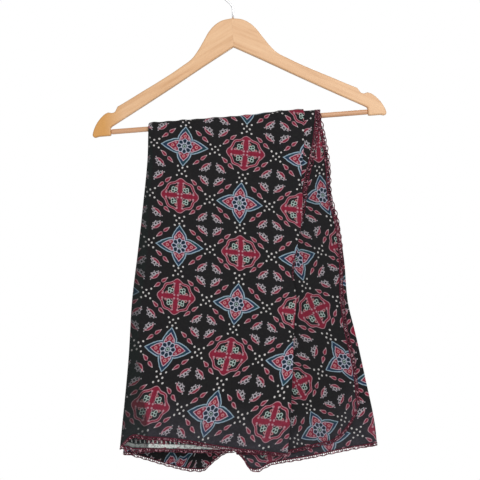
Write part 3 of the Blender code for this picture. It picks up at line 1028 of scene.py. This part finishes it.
def grid_normals(points):
    """Outward normals, away from the bar at the front panel."""
    return unit(np.cross(np.gradient(points, axis=0), np.gradient(points, axis=1)))


def print_rows(rows):
    """A print table in fine steps, carried on straight past its first and last row."""
    table = np.array(rows, float)
    before = table[0] - (table[1] - table[0]) * ROWS_PAST_A_TABLE
    after = table[-1] + (table[-1] - table[-2]) * ROWS_PAST_A_TABLE
    table = np.vstack([before, table, after])
    at = np.arange(table[0, 0], table[-1, 0], 0.05)
    return [at] + [through(list(zip(table[:, 0], table[:, k])), at) for k in range(1, 5)]


def place_in_print(rows, x, drop):
    """Where points lie in a print, counted in motifs across and down."""
    row, row_x, row_drop, step_x, step_drop = print_rows(rows)
    down = np.interp(drop, row_drop, row)
    for _ in range(8):
        across = (x - np.interp(down, row, row_x)) / np.interp(down, row, step_x)
        down = np.interp(drop - across * np.interp(down, row, step_drop), row_drop, row)
    return across, down


def print_places(points):
    """Each point's place in the print. The cloth is unrolled sideways from the front panel."""
    spans = strip_columns()
    first, last = spans[2][0], spans[3][1]
    bar_row = ROWS_A_HALF
    front = points[: bar_row + 1]
    x, drop = front[..., 0], -front[..., 2]
    steps = np.linalg.norm(np.diff(front[..., :2], axis=1), axis=-1)
    run = np.concatenate([np.zeros((len(front), 1)), np.cumsum(steps, axis=1)], axis=1)
    unrolled = x.copy()
    unrolled[:, :first] = x[:, first, None] + run[:, first, None] - run[:, :first]
    unrolled[:, last + 1:] = x[:, last, None] + run[:, last, None] - run[:, last + 1:]
    across, down = place_in_print(FRONT_PRINT, unrolled, drop)
    third = slice(spans[4][1] + 1, spans[6][0])
    right = slice(spans[6][0], spans[6][1] + 1)
    for part, rows in ((third, THIRD_LAYER_PRINT), (right, RIGHT_PRINT)):
        across[:, part], down[:, part] = place_in_print(rows, x[:, part], drop[:, part])
    behind = points[bar_row + 1:]
    fallen = np.cumsum(np.linalg.norm(np.diff(points[bar_row:], axis=0), axis=-1), axis=0)
    steps = np.linalg.norm(np.diff(behind[..., :2], axis=1), axis=-1)
    run = np.concatenate([np.zeros((len(behind), 1)), np.cumsum(steps, axis=1)], axis=1)
    across_behind = np.repeat(across[-1:], len(behind), axis=0)
    down_behind = np.repeat(down[-1:], len(behind), axis=0)
    joined = slice(0, spans[4][1] + 1)
    rolled = across[-1, last] - (run[:, joined] - run[:, last, None]) / MOTIF_STEP
    share = smooth_share(np.arange(len(behind)) / len(behind) * 4)[:, None]
    across_behind[:, joined] = mix(across[-1, joined], rolled, share)
    from_left = across[-1, joined][::-1], down[-1, joined][::-1]
    down_behind[:, joined] = np.interp(across_behind[:, joined], *from_left)
    across = np.concatenate([across, across_behind])
    down = np.concatenate([down, down_behind - fallen / MOTIF_HEIGHT])
    return np.stack([across, down], axis=-1)


def dye_shade_and_sheen_values(points):
    """By name: 0 for the right side, and each point's millimetres from the front hem and inside the painted
    shadow.
    """
    spans = strip_columns()
    bar_row = ROWS_A_HALF
    from_hem = np.full(points.shape[:2], FAR)
    steps = np.linalg.norm(np.diff(points[: bar_row + 1], axis=0), axis=-1)
    from_hem[0] = 0
    from_hem[1: bar_row + 1] = np.cumsum(steps, axis=0)
    from_hem[: bar_row + 1, spans[6][0]:] += NO_BAND_SHIFT
    in_painted_shadow = np.full(points.shape[:2], -FAR)
    # Points in the painted shadow: millimetres inside its edge.
    shadowed_points = points[: bar_row + 1, : spans[4][1]]
    in_painted_shadow[: bar_row + 1, : spans[4][1]] = through(PAINTED_SHADOW_EDGE, -shadowed_points[..., 2]) - shadowed_points[..., 0]
    return {WRONG_SIDE: np.zeros(points.shape[:2]), FROM_HEM: from_hem, IN_PAINTED_SHADOW: in_painted_shadow}


def make_cloth(points, normals, finish):
    """A closed thin sheet, with the print's places as its UV map and, at its points, the values for the
    dye, the painted shadow and the painted sheen.
    """
    rows, columns = points.shape[:2]
    index = np.arange(rows * columns).reshape(rows, columns)
    cells = np.stack([index[:-1, :-1], index[1:, :-1], index[1:, 1:], index[:-1, 1:]], axis=-1)
    cells = cells.reshape(-1, 4)
    under = rows * columns
    ring = np.concatenate([index[:-1, 0], index[-1, :-1], index[:0:-1, -1], index[0, :0:-1]])
    next_ring = np.roll(ring, -1)
    border = np.stack([next_ring, ring, ring + under, next_ring + under], axis=-1)
    faces = np.concatenate([cells, cells[:, ::-1] + under, border])
    half = normals * CLOTH_THICKNESS / 2
    sides = np.concatenate([(points + half).reshape(-1, 3), (points - half).reshape(-1, 3)])
    cloth = mesh_object("printed_cloth", sides, faces.tolist(), finish)
    places = print_places(points).reshape(-1, 2)
    corners = np.zeros(len(cloth.data.loops), np.int32)
    cloth.data.loops.foreach_get("vertex_index", corners)
    print_map = cloth.data.uv_layers.new(name=PRINT_MAP)
    print_map.data.foreach_set("uv", places[corners % under].astype(np.float32).ravel())
    for name, value in dye_shade_and_sheen_values(points).items():
        carried = np.concatenate([value.ravel(), value.ravel() + (1 if name == WRONG_SIDE else 0)])
        attribute = cloth.data.attributes.new(name, "FLOAT", "POINT")
        attribute.data.foreach_set("value", carried.astype(np.float32))
    return cloth


def edge_lines(points, normals):
    """The edges of the cloth: points, ways out, normals and how far the loops hang open."""
    for edge, beside, up, openness in (
        (points[0], points[1], normals[0], HEM_LOOP_OPENNESS),
        (points[-1], points[-2], normals[-1], HEM_LOOP_OPENNESS),
        (points[:, 0], points[:, 1], normals[:, 0], 1.0),
        (points[:, -1], points[:, -2], normals[:, -1], 1.0),
    ):
        yield edge, unit(edge - beside), up, openness


def make_edging(points, normals, finish):
    """A chain along each edge, with thread loops worked into it."""
    parts = []
    for edge, out, up, openness in edge_lines(points, normals):
        run = np.concatenate([[0], np.cumsum(np.linalg.norm(np.diff(edge, axis=0), axis=1))])

        def at(values, place):
            return np.stack([np.interp(place, run, values[:, k]) for k in range(3)], axis=-1)

        loops = 2 * round(run[-1] / LOOP_PITCH / 2)
        pitch = run[-1] / loops
        for chain in CHAINS:
            count = round(run[-1] / chain.stitch * 2)
            place = np.linspace(0, run[-1], count + 1)
            stitches = np.cos(np.arange(count + 1) * math.pi)
            scallops = np.abs(np.sin(place * math.pi / (2 * pitch))) ** 1.5
            uneven = 0.25 * np.sin(place * 0.37) + 0.15 * np.sin(place * 0.091)
            reach = (chain.out + chain.scallop * (scallops + uneven)) * openness
            route = at(edge, place) + at(out, place) * reach[:, None]
            parts.append((0.0, *tube(route, at(up, place), np.outer(1 + 0.16 * stitches, chain.radii), 5)))

        angle = np.linspace(0, math.pi, LOOP_STEPS + 1)
        for k in range(loops):
            deep = LOOP_DEPTH * (1 + 0.06 * math.sin(k * 2.3) + 0.05 * math.sin(k * 0.61))
            place = (k + 0.5) * pitch - np.cos(angle) * pitch * LOOP_SPREAD
            reach = (LOOP_FOOT + deep * np.sin(angle) ** 0.75) * openness
            lift = 0.3 * math.sin(k * 1.7) * np.sin(angle)
            route = at(edge, place) + at(out, place) * reach[:, None] + at(up, place) * lift[:, None]
            radii = np.outer(1 + 0.2 * np.cos(angle * 8), LOOP_RADII)
            parts.append((1.0, *tube(route, at(up, place), radii, 5)))
    all_points = []
    all_faces = []
    pale = []
    for is_pale, part_points, part_faces in parts:
        start = len(pale)
        all_points.append(part_points)
        all_faces.extend(tuple(i + start for i in face) for face in part_faces)
        pale.extend([is_pale] * len(part_points))
    edging = mesh_object("crochet_edging", np.concatenate(all_points), all_faces, finish)
    edging.data.attributes.new(PALE_THREAD, "FLOAT", "POINT").data.foreach_set("value", pale)
    return edging


# Stage


def make_stage():
    """A pale round floor under the hanging cloth, and near-white surroundings."""
    floor_material, tree, shader = new_material("pale floor")
    place = tree.nodes.new("ShaderNodeTexCoord").outputs["Object"]
    mottle = noise_field(tree, place, 3.0, 2.0)
    tone = ramp(tree, mottle, ((0.3, (240, 240, 240)), (0.7, (248, 248, 248))))
    tree.links.new(tone, shader.inputs["Base Color"])
    shader.inputs["Roughness"].default_value = 0.9
    bm = bmesh.new()
    bmesh.ops.create_circle(bm, cap_ends=True, segments=96, radius=1.15)
    mesh = bpy.data.meshes.new("floor")
    bm.to_mesh(mesh)
    bm.free()
    floor = add_object("floor", mesh, floor_material)
    floor.location = (0, 0, -1.05)

    world = bpy.data.worlds.new("surroundings")
    bpy.context.scene.world = world
    world.use_nodes = True
    background = world.node_tree.nodes["Background"]
    background.inputs["Color"].default_value = (1, 1, 1, 1)
    rays = world.node_tree.nodes.new("ShaderNodeLightPath")
    seen = Field(world.node_tree, rays.outputs["Is Camera Ray"])
    strength = seen * (1 - SURROUNDINGS_LIGHT) + SURROUNDINGS_LIGHT
    world.node_tree.links.new(strength.socket, background.inputs["Strength"])


SURROUNDINGS_LIGHT = 0.4
CLOTH_MIDDLE = Vector((0.01, 0.0, -0.45))
Lamp = namedtuple("Lamp", "name place size watts")
LAMPS = (
    Lamp("key", (0.7, -2.1, 0.6), 1.1, 29),
    Lamp("fill", (-1.6, -2.2, -0.4), 1.6, 7),
    Lamp("behind", (0.9, 2.0, 0.5), 1.6, 22),
)


def make_lamps():
    for lamp in LAMPS:
        light = bpy.data.lights.new(lamp.name, "AREA")
        light.energy = lamp.watts
        light.size = lamp.size
        ob = bpy.data.objects.new(lamp.name, light)
        ob.location = lamp.place
        ob.rotation_euler = (CLOTH_MIDDLE - ob.location).to_track_quat("-Z", "Y").to_euler()
        bpy.context.scene.collection.objects.link(ob)


def make_camera():
    """The photograph's view: straight from the front, 1.5 mm of cloth to a pixel."""
    data = bpy.data.cameras.new("camera")
    data.lens = 90
    data.sensor_width = 36
    camera = bpy.data.objects.new("camera", data)
    camera.location = (0.0105, -1.81, -0.3996)
    camera.rotation_euler = (math.radians(90), 0, 0)
    bpy.context.scene.collection.objects.link(camera)
    bpy.context.scene.camera = camera


def fit(piece, node):
    """Puts a piece on the body in place of its solid."""
    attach(piece, "root")
    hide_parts(node)
    return piece


def main():
    bpy.context.scene.view_settings.view_transform = "Standard"
    make_camera()
    make_lamps()
    make_stage()

    tones = ((240, 197, 152), (231, 184, 138), (214, 163, 115))
    left_wood = wood_material("beech left", tones, -ARM_SLOPE_DEG, yellow_tip=True)
    right_wood = wood_material("beech right", tones, ARM_SLOPE_DEG)
    bar_wood = wood_material("beech bar", ((226, 178, 138), (214, 164, 124), (194, 142, 102)), 0)
    fit(make_arm("wooden_arm_left", -1, left_wood), "hanger_arm_left")
    fit(make_arm("wooden_arm_right", 1, right_wood), "hanger_arm_right")
    fit(make_bar(bar_wood), "hanger_bar")
    fit(make_hook(steel_material()), "hook")

    points = cloth_points()
    normals = grid_normals(points)
    cloth = fit(make_cloth(points, normals, cloth_material()), "ajrakh_cloth")
    edging = fit(make_edging(points, normals, thread_material()), "crocheted_edging")


main()
